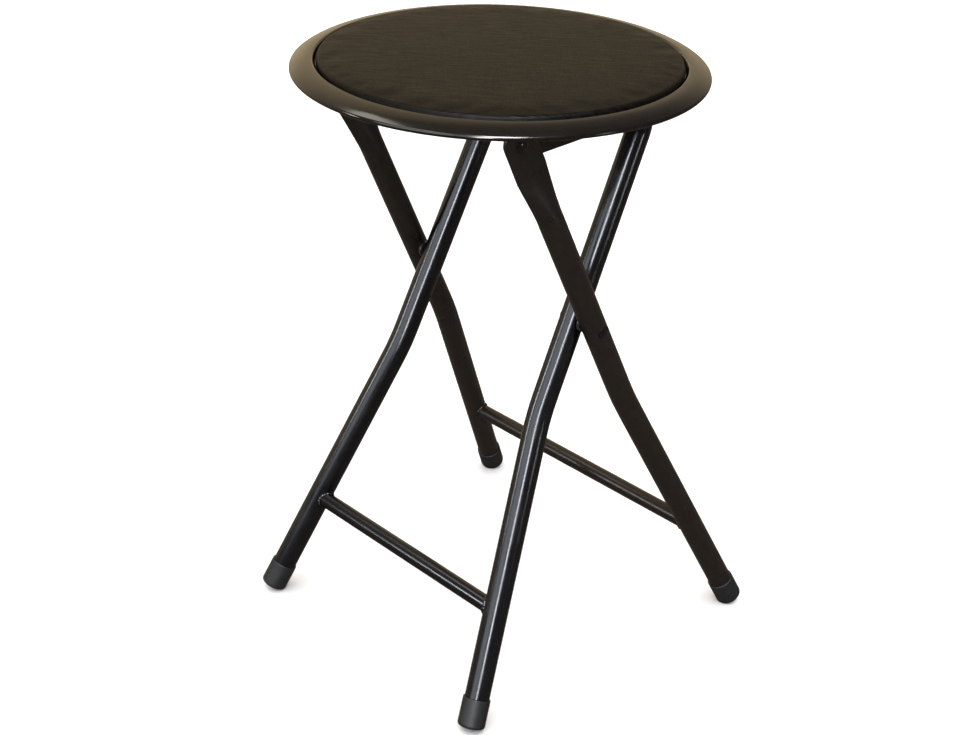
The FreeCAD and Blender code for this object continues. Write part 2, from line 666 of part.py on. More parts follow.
def inner_frame():
    """One tube: foot, bend, leg, bar across the top and down the other side."""
    body = new_body("inner_frame_tube", FRAMES["inner"])
    bar_corner_x = "Worked.bar_half"
    leg_x = "(%s + Worked.bar_tangent * sin(Sizes.taper))" % bar_corner_x
    leg_y = "Worked.bar_reach - Worked.bar_tangent * cos(Sizes.taper)"
    bar_x = "(%s - Worked.bar_tangent)" % bar_corner_x
    route = [leg_point("inner", "Sizes.cap_sole", "-")]
    route += leg_bend("inner", "-", 1, True)
    route += [
        ("-" + leg_x, leg_y, "Sizes.bar_bend_radius", -1),
        ("-" + bar_x, "Worked.bar_reach"),
        (bar_x, "Worked.bar_reach", "Sizes.bar_bend_radius", -1),
        (leg_x, leg_y),
    ]
    route += leg_bend("inner", "", 1, False)
    route.append(leg_point("inner", "Sizes.cap_sole"))
    path = draw(new_sketch(body, "XY_Plane", "Path"), route, closed=False)
    pipe(body, tube_section(body, "inner", -1), path)
    hole = [("0", "0", "Worked.rivet_radius + Sizes.running_fit")]
    cut_through(body, draw_circles(new_sketch(body, "YZ_Plane", "RivetHole"), hole))
    return keep(body)


def stretcher(frame):
    """Cross tube whose ends are shaped to the legs that they are welded to."""
    body = new_body(frame + "_stretcher", FRAMES[frame])
    place = "-Sizes.bend_drop - Sizes.stretcher_drop"
    outer = "Sizes.stretcher_diameter / 2"
    rings = [(place, "0", outer), (place, "0", outer + " - Sizes.tube_wall")]
    section = draw_circles(new_sketch(body, "YZ_Plane", "Section"), rings)
    pad(body, section, "2 * Worked.%s_stretcher_out" % frame, middle=True)
    for side in ("", "-"):
        offset = (
            "placement(vector({0}Worked.{1}_stretcher_out; {2}; 0);"
            " rotation(vector(0; 0; 1); {0}Sizes.splay))".format(side, frame, place)
        )
        sketch = new_sketch(body, "XY_Plane", "Leg", offset)
        reach = "Sizes.stretcher_diameter"
        draw(
            sketch,
            [
                ("0", "-" + reach),
                ("Worked.tube_radius", "-" + reach),
                ("Worked.tube_radius", reach),
                ("0", reach),
            ],
        )
        doc.recompute()
        before = body.Shape.Volume
        cope = body.newObject("PartDesign::Groove", "Cope")
        cope.Profile = sketch
        cope.ReferenceAxis = (sketch, ["V_Axis"])
        cope.Angle = 360
        doc.recompute()
        if body.Shape.Volume >= before:
            raise RuntimeError(body.Label + ": an end was not shaped to its leg")
    return keep(body)


def dome_sizes(name):
    """Half width and height of a rivet's head or tail."""
    return "Sizes.%s_diameter / 2" % name, "Sizes.%s_height" % name


def dome_radius(wide, tall):
    """Radius of a dome of that half width and height."""
    return "((%s)^2 + %s^2) / (2 * %s)" % (wide, tall, tall)


def rivet_body(head, tail, label, placement, outer_seat, inner_seat, skirt=None):
    """Turned rivet along X: a domed head, with a skirt if it beds on a tube, a shank, a domed tail."""
    body = new_body(label, placement)
    wide, tall = dome_sizes(head)
    tail_wide, tail_tall = dome_sizes(tail)
    under_head = skirt or outer_seat
    profile = [("0", outer_seat + " + " + tall, dome_radius(wide, tall), -1), (wide, outer_seat)]
    if skirt:
        profile.append((wide, skirt))
    profile += [
        ("Worked.rivet_radius", under_head),
        ("Worked.rivet_radius", inner_seat),
        (tail_wide, inner_seat, dome_radius(tail_wide, tail_tall), -1),
        ("0", inner_seat + " - " + tail_tall),
    ]
    turn = "placement(vector(0; 0; 0); rotation(vector(0; 0; 1); -90))"
    revolve(body, draw(new_sketch(body, "XY_Plane", "RivetProfile", turn), profile))
    return body


def pivot_rivet(leg):
    """Cross rivet: its outer head beds on the outer leg, the inner leg turns on its shank."""
    seat = "(Worked.outer_half + Worked.tube_radius)"
    inner_seat = "(Worked.inner_half - Worked.tube_radius - Sizes.pivot_tail_gap)"
    skirt = seat + " - Sizes.rivet_skirt"
    blank = rivet_body(
        "pivot_head", "pivot_tail", "pivot_rivet_blank", FRAMES["outer"], seat, inner_seat, skirt
    )
    rivet = doc.addObject("Part::Cut", "right_pivot_rivet")
    rivet.Label = "right_pivot_rivet"
    rivet.Base = blank
    rivet.Tool = leg
    return keep(rivet)


def hinge_rivet():
    """Seat hinge rivet through the flattened leg end, the washer and the rail."""
    place = (
        "placement(vector(0; Worked.hinge_back - Sizes.seat_forward; Worked.hinge_height);"
        " rotation(vector(1; 0; 0); 90 + Sizes.outer_tilt))"
    )
    seat = "(Worked.flat_x + Sizes.flat_thickness / 2 + Sizes.screw_fit)"
    inner_seat = "(Worked.rail_inner - Sizes.running_gap)"
    return keep(
        rivet_body("hinge_head", "hinge_head", "right_hinge_rivet", place, seat, inner_seat)
    )


def ring_piece(label, placement, places, diameter, start, length):
    """Washer or spacer: a short ring along X round a rivet's shank."""
    body = new_body(label, placement)
    rings = [places + (diameter + " / 2",), places + ("Worked.rivet_radius + Sizes.screw_fit",)]
    pad(body, draw_circles(new_sketch(body, "YZ_Plane", "Ring", raised(start)), rings), length)
    return keep(body)


def pivot_spacer():
    start = "Worked.inner_half + Worked.tube_radius + Sizes.running_gap"
    length = "Sizes.leg_gap - 2 * Sizes.running_gap"
    return ring_piece(
        "right_pivot_spacer", FRAMES["outer"], ("0", "0"), "Sizes.spacer_diameter", start, length
    )


def hinge_washer():
    start = "Worked.rail_outer + Sizes.running_gap"
    length = "Sizes.hinge_gap - Sizes.running_gap - Sizes.screw_fit"
    return ring_piece(
        "right_hinge_washer",
        FRAMES["outer"],
        ("Worked.hinge_reach", "0"),
        "Sizes.washer_diameter",
        start,
        length,
    )


def floor_block():
    """The space under the floor, which trims the worn flats on the feet."""
    block = doc.addObject("Part::Box", "Floor")
    for side in ("Length", "Width"):
        block.setExpression(side, "2 * Sizes.seat_diameter")
    block.setExpression("Height", "Sizes.tube_diameter")
    block.setExpression(
        "Placement",
        "placement(vector(-Sizes.seat_diameter; -Sizes.seat_diameter; -Sizes.tube_diameter);"
        " rotation(vector(0; 0; 1); 0))",
    )
    return block


def rubber_foot(frame, floor):
    """Cap over the leg's end with a rounded edge and a small flat worn level with the floor."""
    body = new_body(frame + "_foot_blank", FRAMES[frame])
    offset = (
        "placement(vector(Worked.{0}_foot_out; -Worked.{0}_foot_reach; 0);"
        " rotation(vector(0; 0; 1); Sizes.splay))".format(frame)
    )
    bore = "Worked.tube_radius + Sizes.cap_fit"
    profile = [
        ("0", "0"),
        ("Worked.cap_radius - Sizes.cap_round", "0", "Sizes.cap_round", 1),
        ("Worked.cap_radius", "Sizes.cap_round"),
        ("Worked.cap_radius", "Sizes.cap_length - Sizes.cap_wall / 2", "Sizes.cap_wall / 2", 1),
        ("Worked.cap_radius - Sizes.cap_wall / 2", "Sizes.cap_length"),
        (bore, "Sizes.cap_length"),
        (bore, "Sizes.cap_sole"),
        ("0", "Sizes.cap_sole"),
    ]
    revolve(body, draw(new_sketch(body, "XY_Plane", "CapProfile", offset), profile))
    foot = doc.addObject("Part::Cut", frame + "_right_foot")
    foot.Label = frame + "_right_foot"
    foot.Base = body
    foot.Tool = floor
    return keep(foot)


def check_document():
    """Stops if any object failed, or if a piece is empty or not a sound solid."""
    doc.recompute()
    for thing in doc.Objects:
        if "Invalid" in thing.State or "Error" in thing.State:
            raise RuntimeError("%s failed: %s" % (thing.Label, thing.State))
    for node in nodes:
        shape = node.Shape
        if shape.isNull() or not shape.isValid() or not shape.Solids:
            raise RuntimeError(node.Label + " is not a sound solid")


def write_parts():
    os.makedirs("parts", exist_ok=True)
    for node in nodes:
        node.Shape.exportStep("parts/%s.step" % node.Label)
        box = node.Shape.BoundBox
        low = "%.1f %.1f %.1f" % (box.XMin, box.YMin, box.ZMin)
        high = "%.1f %.1f %.1f" % (box.XMax, box.YMax, box.ZMax)
        print(node.Label, len(node.Shape.Solids), "%.1f mm3" % node.Shape.Volume, low, "to", high)


def build():
    fill_sheets()
    seat_pan()
    seat_board()
    seat_foam()
    seat_cover()
    board_reach = "Sizes.pan_sheet + Worked.board_over - Sizes.screw_fit"
    screw_group("board_screws", board_screw_places(), "-Sizes.pan_sheet", board_reach)
    clip_head = "-Sizes.pan_sheet - Sizes.clip_ear_thickness"
    clip_reach = "Sizes.clip_ear_thickness + Sizes.pan_sheet + Sizes.cover_thickness / 2"
    screw_group("clip_screws", clip_screw_places(), clip_head, clip_reach)
    leg = outer_leg()
    floor = floor_block()
    for right in (
        leg,
        hinge_rail(),
        bar_clip(),
        pivot_rivet(leg),
        pivot_spacer(),
        hinge_rivet(),
        hinge_washer(),
        rubber_foot("outer", floor),
        rubber_foot("inner", floor),
    ):
        mirror(right, right.Label.replace("right", "left"))
    inner_frame()
    stretcher("outer")
    stretcher("inner")
    check_document()
    write_parts()


build()
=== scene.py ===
"""Folding stool: the finish of every surface, the upholstered pad, the welds, the light and the camera.

Everything is in metres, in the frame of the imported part: +Z is up, -Y is the front and +X the right.
"""

import math

import bmesh
import bpy
from mathutils import Matrix, Vector, noise


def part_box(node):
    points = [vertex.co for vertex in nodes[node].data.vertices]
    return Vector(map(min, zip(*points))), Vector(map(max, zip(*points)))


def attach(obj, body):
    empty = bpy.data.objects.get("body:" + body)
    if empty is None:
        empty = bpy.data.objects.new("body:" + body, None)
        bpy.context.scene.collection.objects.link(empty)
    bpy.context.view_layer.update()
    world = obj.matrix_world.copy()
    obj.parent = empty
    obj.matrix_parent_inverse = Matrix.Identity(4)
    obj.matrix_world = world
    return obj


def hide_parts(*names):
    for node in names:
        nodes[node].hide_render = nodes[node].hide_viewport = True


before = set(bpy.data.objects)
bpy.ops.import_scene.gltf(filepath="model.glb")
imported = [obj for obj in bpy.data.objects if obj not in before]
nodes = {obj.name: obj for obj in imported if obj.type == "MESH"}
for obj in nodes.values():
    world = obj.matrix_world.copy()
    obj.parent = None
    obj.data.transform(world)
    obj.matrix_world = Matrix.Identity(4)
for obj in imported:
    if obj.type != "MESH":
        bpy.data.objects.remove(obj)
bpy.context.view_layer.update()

MM = 0.001

# Camera of the photograph, taken as a 980 by 735 pixel frame
CAMERA_PLACE = (0.80273, -0.79506, 0.81454)
CAMERA_RIGHT = (0.69036721, 0.72286423, 0.02933282)
CAMERA_BACK = (0.62860958, -0.61943273, 0.47026918)
FRAME_WIDTH = 980
FOCAL_PIXELS = 1632.5
SENSOR_WIDTH = 36.0

# Upholstered pad
PAD_GRID = 30
PAD_SHOULDER = 3.1 * MM
PAD_BELLY = 3.6 * MM
PAD_TUCK = 2.2 * MM
PAD_HEM = 18.0 * MM
PAD_SWELL = 0.8 * MM
PAD_UNEVEN = 0.16 * MM
PAD_UNEVEN_SCALE = 17.0
SHOULDER_STEPS = 6
TUCK_STEPS = 4
SWELL_FRAMES = 20
SWELL_PRESSURE = 4.0
JOIN_DISTANCE = 0.01 * MM

# Welds of the two stretchers
TUBE_RADIUS = 9.5 * MM
STRETCHER_RADIUS = 6.35 * MM
LEG_SPLAY = math.radians(10.5)
BEAD_RADIUS = 1.5 * MM
BEAD_RIPPLE = 0.16 * MM
BEAD_RIPPLES = 17
BEAD_STEPS = 102
BEAD_SIDES = 10
BEAD_LUMPS = 300

# Spot welds of the hinge rails; the profile gives shares of the radius and of the ridge, from the middle out
RAIL_SHEET = 2.0 * MM
SPOT_RADIUS = 3.0 * MM
SPOT_RIDGE = 0.3 * MM
SPOT_MIDDLE = 0.10
SPOT_PROFILE = ((0.45, 0.14), (0.72, 0.5), (0.86, 1.0), (1.0, 0.0))
SPOT_WAVER = 0.05
SPOT_WAVES = 3
SPOT_COUNT = 4
SPOT_MARGIN = 0.75
SPOT_STEPS = 28

# Floor and dome
FLOOR_REACH = 9.0
FLOOR_DROP = 0.2 * MM
FLOOR_TONES = ((0.86, 0.86, 0.86), (0.88, 0.88, 0.88))
DOME_STRENGTH = 5.5
DOME_SPREAD = math.radians(100)
DOME_LEAN = (math.radians(12), math.radians(8), 0)

# Panels: name, degrees round from +X, degrees above the floor, distance, size, radiance and colour
LIT_HEIGHT = 0.25
PANELS = (
    ("front_panel", -88, 22, 2.5, (1.9, 1.9), 3.0, (0.90, 0.95, 1.0)),
    ("front_strip", -52, 25, 2.4, (0.34, 1.9), 30, (0.93, 0.95, 1.0)),
    ("side_strip", -124, 12, 2.4, (0.25, 0.5), 22, (0.93, 0.96, 1.0)),
    ("soft_box", -41, 57, 2.4, (0.6, 1.6), 36, (0.93, 0.92, 1.0)),
    ("ceiling_panel", -122, 61, 2.4, (2.4, 0.5), 4.5, (1.0, 1.0, 0.96)),
    ("right_panel", 10, 3, 2.4, (0.25, 0.25), 14, (1.0, 1.0, 0.96)),
)

# Room seen in reflections; each rise is a stretch of the direction's height, each reach of its facing
BACKDROP_TONE = (0.96, 0.96, 0.96)
ROOM_TONE = (0.10, 0.10, 0.12)
UNDER_TONE = (0.14, 0.11, 0.09)
WARM_TONE = (1.10, 0.87, 0.53)
WARM_SIDE = (-0.85, 0.30, 0.45)
WARM_REACH = (0.25, 1.0)
GLOW_SIDE = (-0.749, 0.244, 0.616)
GLOW_REACH = (0.92, 1.0)
GLOW_SHARE = 0.6
GROUND_RISE = (-0.3, 0.1)
FLOOR_RISE = (-0.16, 0.02)
FLOOR_SHARE = 0.4
CEILING_RISE = (0.2, 0.6)
CEILING_SHARE = 0.3


def add_node(tree, kind, **values):
    """A shader node with some of its input sockets set by name, underscores standing for spaces."""
    node = tree.nodes.new(kind)
    for name, value in values.items():
        node.inputs[name.replace("_", " ")].default_value = value
    return node


def new_material(name):
    """An empty principled material: the material, its node tree and its shader."""
    material = bpy.data.materials.new(name)
    material.use_nodes = True
    return material, material.node_tree, material.node_tree.nodes["Principled BSDF"]


def coordinates(tree, stretch=(1, 1, 1), turn=0.0):
    """Places on the piece itself, for a pattern stretched along its own axes and then turned about Z."""
    place = add_node(tree, "ShaderNodeTexCoord")
    mapping = add_node(tree, "ShaderNodeMapping", Scale=stretch, Rotation=(0, 0, turn))
    mapping.vector_type = "TEXTURE"
    tree.links.new(place.outputs["Object"], mapping.inputs["Vector"])
    return mapping.outputs["Vector"]


def noise_of(tree, vector, scale, detail=2.0, roughness=0.5):
    """A noise value from 0 to 1, with so many grains to the metre."""
    node = add_node(tree, "ShaderNodeTexNoise", Scale=scale, Detail=detail, Roughness=roughness)
    tree.links.new(vector, node.inputs["Vector"])
    return node.outputs["Fac"]


def spread(tree, value, low, high, start=0.3, end=0.7):
    """The value from start to end, spread over low to high."""
    node = tree.nodes.new("ShaderNodeMapRange")
    node.inputs["From Min"].default_value = start
    node.inputs["From Max"].default_value = end
    node.inputs["To Min"].default_value = low
    node.inputs["To Max"].default_value = high
    tree.links.new(value, node.inputs["Value"])
    return node.outputs["Result"]


def multiply(tree, first, second):
    """The product of two values."""
    node = tree.nodes.new("ShaderNodeMath")
    node.operation = "MULTIPLY"
    tree.links.new(first, node.inputs[0])
    tree.links.new(second, node.inputs[1])
    return node.outputs["Value"]


def mix_colour(tree, value, first, second):
    """The first colour where the value is 0, the second where it is 1. Either may be a node's output."""
    node = tree.nodes.new("ShaderNodeMix")
    node.data_type = "RGBA"
    tree.links.new(value, node.inputs["Factor"])
    for socket, colour in ((node.inputs[6], first), (node.inputs[7], second)):
        if isinstance(colour, tuple):
            socket.default_value = (*colour, 1)
        else:
            tree.links.new(colour, socket)
    return node.outputs[2]


def bump(tree, height, distance, strength=1.0, under=None):
    """A normal raised by the height, so many metres at most."""
    node = add_node(tree, "ShaderNodeBump", Strength=strength, Distance=distance)
    tree.links.new(height, node.inputs["Height"])
    if under is not None:
        tree.links.new(under, node.inputs["Normal"])
    return node.outputs["Normal"]


def paint(name, base, worn, rough, peel, tint, specular=0.5):
    """Sprayed paint on steel: orange peel, a drifting gloss, a faint film of dust and a tint on its
    reflections that is painted light.
    """
    material, tree, shader = new_material(name)
    place = coordinates(tree)
    dust = spread(tree, noise_of(tree, place, 160, 6, 0.65), 0, 1, 0.45, 0.75)
    tree.links.new(mix_colour(tree, dust, base, worn), shader.inputs["Base Color"])
    gloss = spread(tree, noise_of(tree, place, 38, 3), *rough)
    tree.links.new(gloss, shader.inputs["Roughness"])
    coarse = bump(tree, noise_of(tree, place, 140, 1), peel)
    fine = bump(tree, noise_of(tree, place, 900, 2), peel * 0.3, under=coarse)
    tree.links.new(fine, shader.inputs["Normal"])
    shader.inputs["Specular IOR Level"].default_value = specular
    # The tint colours every reflection: a painted tint of the light mirrored.
    shader.inputs["Specular Tint"].default_value = (*tint, 1)
    return material


def fabric(name):
    """Dark brown cover: a fine rib across the pad and uneven yarns."""
    material, tree, shader = new_material(name)
    rib_turn = math.radians(44)
    dark_yarn = (0.0006, 0.0005, 0.0003)
    light_yarn = (0.0068, 0.0053, 0.0033)
    faded_yarn = (0.0036, 0.0029, 0.0018)
    rib_place = coordinates(tree, turn=rib_turn)
    ribs = add_node(tree, "ShaderNodeTexWave", Scale=200, Distortion=1.2, Detail=2, Detail_Scale=1.5)
    ribs.wave_type = "BANDS"
    ribs.bands_direction = "Y"
    tree.links.new(rib_place, ribs.inputs["Vector"])
    threads = add_node(tree, "ShaderNodeTexWave", Scale=290, Distortion=0.8, Detail=1)
    threads.wave_type = "BANDS"
    threads.bands_direction = "X"
    tree.links.new(rib_place, threads.inputs["Vector"])
    slub_place = coordinates(tree, stretch=(7, 1, 1), turn=rib_turn)
    slubs = noise_of(tree, slub_place, 380, 4, 0.65)
    drift = noise_of(tree, coordinates(tree), 26, 3)
    ground = mix_colour(tree, spread(tree, slubs, 0, 1), dark_yarn, light_yarn)
    faded = mix_colour(tree, spread(tree, drift, 0, 0.4), ground, faded_yarn)
    tree.links.new(faded, shader.inputs["Base Color"])
    tree.links.new(spread(tree, slubs, 0.36, 0.54), shader.inputs["Roughness"])
    rib_bump = bump(tree, ribs.outputs["Fac"], 0.10 * MM)
    thread_bump = bump(tree, threads.outputs["Fac"], 0.03 * MM, under=rib_bump)
    slub_bump = bump(tree, slubs, 0.06 * MM, under=thread_bump)
    tree.links.new(slub_bump, shader.inputs["Normal"])
    shader.inputs["Specular IOR Level"].default_value = 0.075
    return material


def moulded(name, base, scuffed, rough, grain, specular=0.4):
    """Moulded rubber or plastic: a fine grain, with lighter scuffs where it is handled."""
    material, tree, shader = new_material(name)
    place = coordinates(tree)
    scuffs = spread(tree, noise_of(tree, place, 130, 7, 0.7), 0, 1, 0.5, 0.75)
    tree.links.new(mix_colour(tree, scuffs, base, scuffed), shader.inputs["Base Color"])
    tree.links.new(spread(tree, noise_of(tree, place, 70, 4), *rough), shader.inputs["Roughness"])
    tree.links.new(bump(tree, noise_of(tree, place, 1500, 3), grain), shader.inputs["Normal"])
    shader.inputs["Specular IOR Level"].default_value = specular
    return material


def plated(name):
    """Zinc-plated steel: a fine grain with cloudy, duller patches."""
    material, tree, shader = new_material(name)
    place = coordinates(tree)
    clouds = noise_of(tree, place, 240, 5, 0.6)
    colour = mix_colour(tree, spread(tree, clouds, 0, 1), (0.42, 0.43, 0.45), (0.60, 0.60, 0.58))
    tree.links.new(colour, shader.inputs["Base Color"])
    tree.links.new(spread(tree, clouds, 0.28, 0.46), shader.inputs["Roughness"])
    tree.links.new(bump(tree, noise_of(tree, place, 2200, 2), 0.01 * MM), shader.inputs["Normal"])
    shader.inputs["Metallic"].default_value = 1.0
    return material


def fibreboard(name):
    """Pressed brown board: short fibres lying every way."""
    material, tree, shader = new_material(name)
    along = noise_of(tree, coordinates(tree, stretch=(1, 5, 1)), 600, 4)
    across = noise_of(tree, coordinates(tree, stretch=(5, 1, 1)), 600, 4)
    first = mix_colour(tree, spread(tree, along, 0, 1), (0.10, 0.055, 0.028), (0.19, 0.115, 0.062))
    colour = mix_colour(tree, spread(tree, across, 0, 0.6), first, (0.24, 0.155, 0.09))
    tree.links.new(colour, shader.inputs["Base Color"])
    tree.links.new(spread(tree, across, 0.7, 0.9), shader.inputs["Roughness"])
    tree.links.new(bump(tree, along, 0.05 * MM), shader.inputs["Normal"])
    return material


def make_materials():
    """Every finish by its name. The outer and inner frame paints are copies of one black paint whose base
    colours and tints are painted warm and cool light.
    """
    # Tints of the reflections: warm is a painted warm reflection on the outer frame, seat pan and rivets,
    # cool a painted cool reflection on the inner frame.
    warm = (1.0, 0.95, 0.88)
    cool = (0.94, 0.96, 1.0)
    # The brown of the outer frame's base and the blue of the inner frame's base are painted warm and cool
    # light on one black paint; the dust tones are a random film.
    brown_black = (0.0086, 0.0062, 0.0046)
    brown_dust = (0.0122, 0.0093, 0.0070)
    blue_black = (0.0026, 0.0026, 0.0033)
    grey_dust = (0.0043, 0.0043, 0.0047)
    seat_black = (0.0043, 0.0036, 0.0028)
    seat_dust = (0.0064, 0.0054, 0.0043)
    rivet_dust = (0.009, 0.006, 0.005)
    clip_black = (0.014, 0.014, 0.015)
    clip_scuff = (0.03, 0.03, 0.03)
    spacer_black = (0.02, 0.02, 0.02)
    spacer_scuff = (0.05, 0.05, 0.048)
    rubber_black = (0.0079, 0.0088, 0.0088)
    rubber_scuff = (0.0145, 0.0157, 0.0160)
    return {
        # The two frame paints differ in gloss, and in colour only as painted warm and cool light.
        "outer_paint_warm_lit": paint("outer_paint_warm_lit", brown_black, brown_dust, (0.26, 0.38), 0.012 * MM, warm, 0.45),
        "inner_paint_cool_lit": paint("inner_paint_cool_lit", blue_black, grey_dust, (0.16, 0.25), 0.008 * MM, cool, 0.5),
        # The warm tint of the seat pan and rivets is a painted warm reflection.
        "seat_paint": paint("seat_paint", seat_black, seat_dust, (0.13, 0.19), 0.006 * MM, warm, 0.5),
        "rivet_paint": paint("rivet_paint", blue_black, rivet_dust, (0.10, 0.18), 0.004 * MM, warm),
        "seat_fabric": fabric("seat_fabric"),
        "hardboard": fibreboard("hardboard"),
        "clip_plastic": moulded("clip_plastic", clip_black, clip_scuff, (0.42, 0.58), 0.02 * MM),
        "spacer_plastic": moulded("spacer_plastic", spacer_black, spacer_scuff, (0.2, 0.35), 0.01 * MM, 0.6),
        "zinc_steel": plated("zinc_steel"),
        "foot_rubber": moulded("foot_rubber", rubber_black, rubber_scuff, (0.42, 0.55), 0.02 * MM),
    }


def finish_of(node_name):
    """The finish that a node of the part carries."""
    if node_name.startswith("inner") and not node_name.endswith("foot"):
        return "inner_paint_cool_lit"
    for mark, finish in (
        ("foot", "foot_rubber"),
        ("clip_screws", "zinc_steel"),
        ("board_screws", "zinc_steel"),
        ("washer", "zinc_steel"),
        ("spacer", "spacer_plastic"),
        ("bar_clip", "clip_plastic"),
        ("rivet", "rivet_paint"),
        ("seat_pan", "seat_paint"),
        ("hinge_rail", "seat_paint"),
        ("seat_board", "hardboard"),
    ):
        if mark in node_name:
            return finish
    return "outer_paint_warm_lit"


def link_mesh(name, mesh_builder, material):
    """A new object from a bmesh, smooth shaded, in the scene's own collection."""
    mesh = bpy.data.meshes.new(name)
    bmesh.ops.recalc_face_normals(mesh_builder, faces=mesh_builder.faces)
    mesh_builder.to_mesh(mesh)
    mesh_builder.free()
    mesh.polygons.foreach_set("use_smooth", [True] * len(mesh.polygons))
    piece = bpy.data.objects.new(name, mesh)
    piece.data.materials.append(material)
    bpy.context.scene.collection.objects.link(piece)
    return piece


def disc_point(across, along):
    """A point of the unit square from -1 to 1 moved onto the unit disc, square rings becoming circles."""
    if across == 0 and along == 0:
        return 0.0, 0.0
    if abs(across) > abs(along):
        radius, angle = across, math.pi / 4 * along / across
    else:
        radius, angle = along, math.pi / 2 - math.pi / 4 * across / along
    return radius * math.cos(angle), radius * math.sin(angle)


def disc_rim(count):
    """Grid places round the edge of a square of 2 * count cells, anticlockwise."""
    right = [(count, step) for step in range(-count, count)]
    back = [(-step, count) for step in range(-count, count)]
    left = [(-count, -step) for step in range(-count, count)]
    front = [(step, -count) for step in range(-count, count)]
    return right + back + left + front


def add_disc(builder, centre, radius, height_at):
    """An evenly meshed disc of that radius: returns its vertices round the edge and all of them."""
    steps = range(-PAD_GRID, PAD_GRID + 1)
    grid = {}
    for i in steps:
        for j in steps:
            x, y = disc_point(i / PAD_GRID, j / PAD_GRID)
            place = Vector((x * radius, y * radius, height_at(math.hypot(x, y) * radius)))
            grid[i, j] = builder.verts.new(centre + place)
    for i in steps[:-1]:
        for j in steps[:-1]:
            builder.faces.new((grid[i, j], grid[i + 1, j], grid[i + 1, j + 1], grid[i, j + 1]))
    return [grid[place] for place in disc_rim(PAD_GRID)], list(grid.values())


def join_rings(builder, first, second):
    """A band of quads between two rings with as many vertices."""
    count = len(first)
    for k in range(count):
        following = (k + 1) % count
        builder.faces.new((first[k], second[k], second[following], first[following]))


def pad_profile(radius, crown_edge, hem_radius, hem_top, board_radius, board_top):
    """Radius and height of each ring: shoulder, tuck, under the hem and up round the board."""
    rings = []
    for step in range(1, SHOULDER_STEPS + 1):
        angle = math.pi / 2 * (1 - step / SHOULDER_STEPS)
        out = PAD_SHOULDER * math.cos(angle)
        rise = PAD_SHOULDER * math.sin(angle)
        rings.append((crown_edge + out, PAD_BELLY + rise))
    soft_rings = len(rings)
    for step in range(1, TUCK_STEPS + 1):
        share = step / TUCK_STEPS
        rings.append((radius - PAD_TUCK * (1 - math.cos(math.pi / 2 * share)), PAD_BELLY * (1 - share)))
    rings.append(((radius + hem_radius) / 2, 0.0))
    rings.append((hem_radius, 0.0))
    rings.append((hem_radius, hem_top))
    rings.append(((board_radius + hem_radius) / 2, hem_top))
    rings.append((board_radius, hem_top))
    rings.append((board_radius, board_top))
    return rings, soft_rings


def swell(piece, soft, reach):
    """Blows the pad up like a filled cover, no point moving further than reach."""
    held = piece.vertex_groups.new(name="held")
    held.add([v.index for v in piece.data.vertices if v.index not in soft], 1.0, "REPLACE")
    start = [v.co.copy() for v in piece.data.vertices]
    cloth = piece.modifiers.new("swell", "CLOTH")
    settings = cloth.settings
    settings.quality = 6
    settings.mass = 0.25
    settings.tension_stiffness = 25
    settings.compression_stiffness = 25
    settings.shear_stiffness = 12
    settings.bending_stiffness = 3
    settings.use_pressure = True
    settings.uniform_pressure_force = SWELL_PRESSURE
    settings.effector_weights.gravity = 0
    settings.vertex_group_mass = held.name
    cloth.point_cache.frame_start = 1
    cloth.point_cache.frame_end = SWELL_FRAMES
    scene = bpy.context.scene
    for step in range(1, SWELL_FRAMES + 1):
        scene.frame_set(step)
    evaluated = piece.evaluated_get(bpy.context.evaluated_depsgraph_get())
    swollen = [v.co.copy() for v in evaluated.data.vertices]
    piece.modifiers.remove(cloth)
    scene.frame_set(1)
    for vertex, before, after in zip(piece.data.vertices, start, swollen):
        move = after - before
        if move.length > reach:
            move *= reach / move.length
        vertex.co = before + move
    piece.data.update()


def make_pad(materials):
    """The round upholstered pad: foam and cover made up round the board, its hem turned under."""
    low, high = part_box("seat_cover")
    board_low, board_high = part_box("seat_board")
    centre = Vector(((low.x + high.x) / 2, (low.y + high.y) / 2, low.z))
    radius = (high.x - low.x) / 2
    crown_edge = radius - PAD_SHOULDER
    crown = high.z - low.z - PAD_SWELL
    shoulder_top = PAD_BELLY + PAD_SHOULDER
    board_radius = (board_high.x - board_low.x) / 2
    board_top = board_high.z - low.z
    hem_top = board_low.z - low.z
    hem_radius = radius - PAD_TUCK - PAD_HEM

    def crown_height(distance):
        return crown - (crown - shoulder_top) * (distance / crown_edge) ** 2

    builder = bmesh.new()
    edge, soft_vertices = add_disc(builder, centre, crown_edge, crown_height)
    rings, soft_rings = pad_profile(radius, crown_edge, hem_radius, hem_top, board_radius, board_top)
    directions = [((v.co - centre).xy / crown_edge).to_3d() for v in edge]
    for number, (ring_radius, height) in enumerate(rings):
        ring = [builder.verts.new(centre + d * ring_radius + Vector((0, 0, height))) for d in directions]
        join_rings(builder, edge, ring)
        if number < soft_rings:
            soft_vertices += ring
        edge = ring
    under_vertices = add_disc(builder, centre, board_radius, lambda distance: board_top)[1]
    bmesh.ops.remove_doubles(builder, verts=edge + under_vertices, dist=JOIN_DISTANCE)
    builder.verts.index_update()
    soft = {v.index for v in soft_vertices}
    pad = link_mesh("seat_cushion", builder, materials["seat_fabric"])
    swell(pad, soft, PAD_SWELL)
    for vertex in pad.data.vertices:
        if vertex.index in soft:
            lift = noise.noise(vertex.co * PAD_UNEVEN_SCALE) * PAD_UNEVEN
            vertex.co.z += lift
    smooth = pad.modifiers.new("smooth", "SUBSURF")
    smooth.levels = 1
    smooth.render_levels = 1
    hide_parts("seat_cover", "seat_foam")
    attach(pad, "seat")


